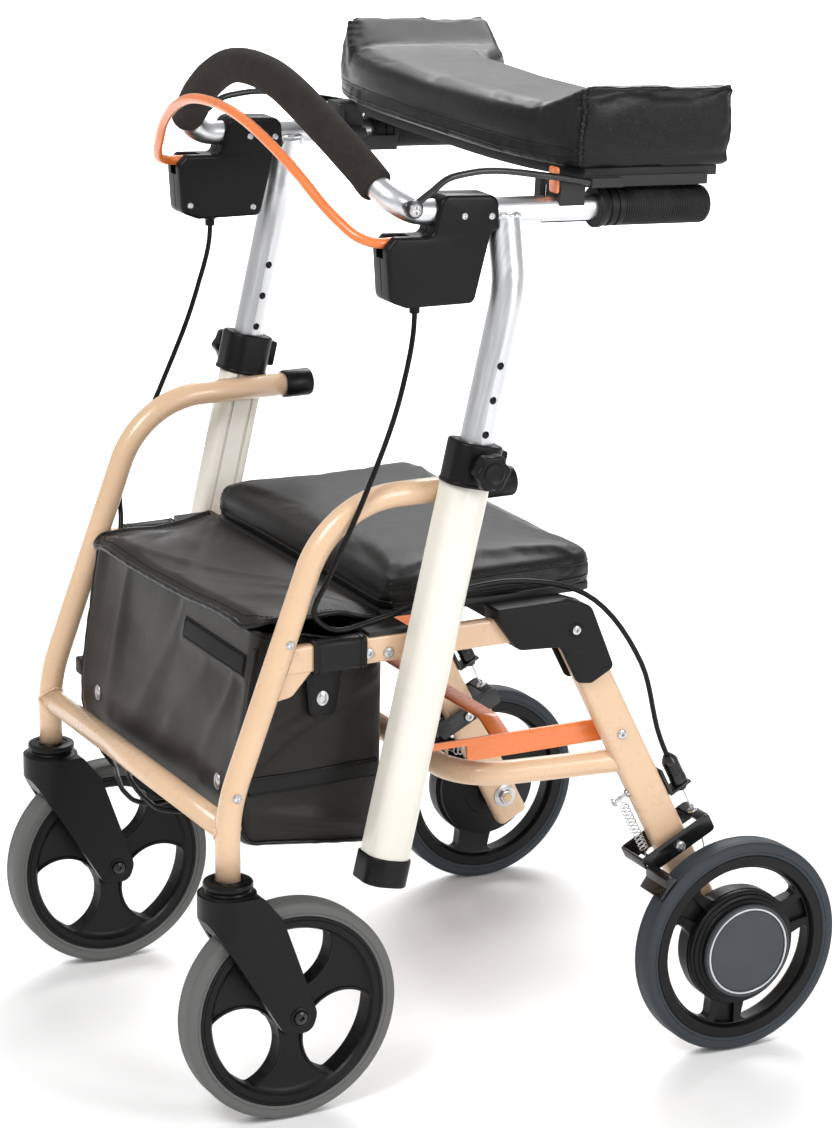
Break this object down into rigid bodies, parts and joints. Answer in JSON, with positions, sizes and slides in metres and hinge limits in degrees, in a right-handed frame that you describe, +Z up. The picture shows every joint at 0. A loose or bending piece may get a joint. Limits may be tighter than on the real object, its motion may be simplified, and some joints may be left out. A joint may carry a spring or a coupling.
{
  "type": "wheeled walker",
  "caption": "Folding wheeled walker with padded forearm rest on height-adjustable posts, padded seat, bag, hand brakes and swivelling front wheels.",
  "frame": {"origin": "on the floor, at the centre of the bounding box's bottom, midway between the axles", "axes": "+Z up, -Y the front where the casters are, +X the walker's left side"},
  "size_m": [0.5512, 0.631, 0.9055],
  "materials": {
    "tan_paint": "gloss tan paint on tube",
    "cream_paint": "satin cream paint, no lettering",
    "orange_paint": "gloss orange paint",
    "satin_aluminium": "satin anodised tube",
    "bracket_plastic": "matte black moulded plastic",
    "black_plastic": "black moulded plastic",
    "foam": "closed-cell foam sleeve",
    "grip_rubber": "ribbed rubber",
    "cable_sheath": "black cable sheath",
    "black_vinyl": "black vinyl cover over foam",
    "bag_vinyl": "brownish black soft vinyl",
    "black_steel": "black coated steel",
    "zinc": "zinc plated steel",
    "hub_disc": "dark grey disc, no lettering",
    "dark_tyre": "dark blue-grey solid tyre",
    "light_tyre": "light grey solid tyre"
  },
  "bodies": {
    "base": {"front_frame": "tan_paint", "side_rail_left": "tan_paint", "side_rail_right": "tan_paint", "corner_bracket_left": "bracket_plastic", "corner_bracket_right": "bracket_plastic", "tube_end_cap_left": "black_plastic", "tube_end_cap_right": "black_plastic", "column_left": "cream_paint", "column_right": "cream_paint", "column_foot_left": "black_plastic", "column_foot_right": "black_plastic", "column_collar_left": "black_plastic", "column_collar_right": "black_plastic", "seat_cushion": "black_vinyl", "seat_frame": "black_steel", "bag": "bag_vinyl", "bag_strap_left": "bag_vinyl", "bag_strap_right": "bag_vinyl"},
    "handle": {"handle_frame": "satin_aluminium", "foam_grip": "foam", "rear_grip_left": "grip_rubber", "rear_grip_right": "grip_rubber", "brake_box_left": "black_plastic", "brake_box_right": "black_plastic", "brake_cable_left": "cable_sheath", "brake_cable_right": "cable_sheath"},
    "squeeze_bar": {"brake_bar": "orange_paint"},
    "forearm_rest": {"forearm_pad": "black_vinyl", "pad_base": "black_plastic", "pad_arm_left": "black_steel", "pad_arm_right": "black_steel"},
    "rest_latch_left": {"pad_latch_left": "black_plastic"},
    "rest_latch_right": {"pad_latch_right": "black_plastic"},
    "knob_left": {"star_knob_left": "black_plastic"},
    "knob_right": {"star_knob_right": "black_plastic"},
    "flap": {"bag_flap": "bag_vinyl"},
    "rear_frame": {"rear_leg_left": "tan_paint", "rear_leg_right": "tan_paint", "rear_cross_tube": "tan_paint", "cable_clamp_left": "black_steel", "cable_clamp_right": "black_steel", "return_spring_left": "zinc", "return_spring_right": "zinc", "latch_spring_left": "zinc", "latch_spring_right": "zinc"},
    "latch": {"fold_latch": "orange_paint"},
    "lever_left": {"brake_lever_left": "black_steel"},
    "lever_right": {"brake_lever_right": "black_steel"},
    "rear_wheel_left": {"rear_wheel_left": "black_plastic", "rear_tyre_left": "dark_tyre", "hub_cap_left": "hub_disc"},
    "rear_wheel_right": {"rear_wheel_right": "black_plastic", "rear_tyre_right": "dark_tyre", "hub_cap_right": "hub_disc"},
    "caster_left": {"caster_fork_left": "black_plastic"},
    "caster_right": {"caster_fork_right": "black_plastic"},
    "front_wheel_left": {"front_wheel_left": "black_plastic", "front_tyre_left": "light_tyre"},
    "front_wheel_right": {"front_wheel_right": "black_plastic", "front_tyre_right": "light_tyre"}
  },
  "joints": [
    {"name": "fold", "type": "hinge", "parent": "base", "child": "rear_frame", "pos_m": [0, 0.0585, 0.412], "axis": [-1, 0, 0], "range_deg": [0, 25], "deforming": ["brake_cable_left", "brake_cable_right"]},
    {"name": "latch_lift", "type": "hinge", "parent": "rear_frame", "child": "latch", "pos_m": [0, 0.11, 0.3055], "axis": [-1, 0, 0], "range_deg": [0, 7.5], "deforming": ["latch_spring_left", "latch_spring_right"]},
    {"name": "height", "type": "slide", "parent": "base", "child": "handle", "axis": [0, 0.2233, 0.9748], "range_m": [-0.09, 0.06], "deforming": ["brake_cable_left", "brake_cable_right"]},
    {"name": "squeeze", "type": "hinge", "parent": "handle", "child": "squeeze_bar", "pos_m": [0, -0.1185, 0.7725], "axis": [-1, 0, 0], "range_deg": [0, 11], "stiffness_Nm_per_rad": 1, "springref_deg": -20.05},
    {"name": "lever_turn_left", "type": "hinge", "parent": "rear_frame", "child": "lever_left", "pos_m": [0.205, 0.16791, 0.19458], "axis": [1, 0, 0], "range_deg": [0, 2.4], "deforming": ["return_spring_left"]},
    {"name": "lever_turn_right", "type": "hinge", "parent": "rear_frame", "child": "lever_right", "pos_m": [-0.205, 0.16791, 0.19458], "axis": [1, 0, 0], "range_deg": [0, 2.4], "deforming": ["return_spring_right"]},
    {"name": "rear_spin_left", "type": "hinge", "parent": "rear_frame", "child": "rear_wheel_left", "pos_m": [0.247, 0.2155, 0.1], "axis": [1, 0, 0], "continuous": true},
    {"name": "rear_spin_right", "type": "hinge", "parent": "rear_frame", "child": "rear_wheel_right", "pos_m": [-0.247, 0.2155, 0.1], "axis": [1, 0, 0], "continuous": true},
    {"name": "swivel_left", "type": "hinge", "parent": "base", "child": "caster_left", "pos_m": [0.2035, -0.2713, 0.228], "axis": [0, 0, 1], "continuous": true},
    {"name": "swivel_right", "type": "hinge", "parent": "base", "child": "caster_right", "pos_m": [-0.2035, -0.2713, 0.228], "axis": [0, 0, 1], "continuous": true},
    {"name": "front_spin_left", "type": "hinge", "parent": "caster_left", "child": "front_wheel_left", "pos_m": [0.2035, -0.2155, 0.1], "axis": [1, 0, 0], "continuous": true},
    {"name": "front_spin_right", "type": "hinge", "parent": "caster_right", "child": "front_wheel_right", "pos_m": [-0.2035, -0.2155, 0.1], "axis": [1, 0, 0], "continuous": true},
    {"name": "knob_turn_left", "type": "hinge", "parent": "base", "child": "knob_left", "pos_m": [0.2608, -0.05504, 0.57972], "axis": [1, 0, 0], "range_deg": [0, 360]},
    {"name": "knob_turn_right", "type": "hinge", "parent": "base", "child": "knob_right", "pos_m": [-0.2608, -0.05504, 0.57972], "axis": [-1, 0, 0], "range_deg": [0, 360]},
    {"name": "rest_tip", "type": "hinge", "parent": "handle", "child": "forearm_rest", "pos_m": [0, -0.1105, 0.802], "axis": [1, 0, 0], "range_deg": [0, 100]},
    {"name": "latch_turn_left", "type": "hinge", "parent": "forearm_rest", "child": "rest_latch_left", "pos_m": [0.1945, 0.04196, 0.78894], "axis": [0, 0.9987, -0.0506], "range_deg": [0, 35], "stiffness_Nm_per_rad": 0.03, "springref_deg": -20.05},
    {"name": "latch_turn_right", "type": "hinge", "parent": "forearm_rest", "child": "rest_latch_right", "pos_m": [-0.1945, 0.04196, 0.78894], "axis": [0, -0.9987, 0.0506], "range_deg": [0, 35], "stiffness_Nm_per_rad": 0.03, "springref_deg": -20.05},
    {"name": "flap_lift", "type": "hinge", "parent": "base", "child": "flap", "pos_m": [0, -0.114, 0.4395], "axis": [-1, 0, 0], "range_deg": [0, 80]}
  ],
  "couplings": [
    {"joint": "latch_lift", "follows": "fold", "ratio": 0.3},
    {"joint": "lever_turn_left", "follows": "squeeze", "ratio": 0.218},
    {"joint": "lever_turn_right", "follows": "squeeze", "ratio": 0.218}
  ]
}
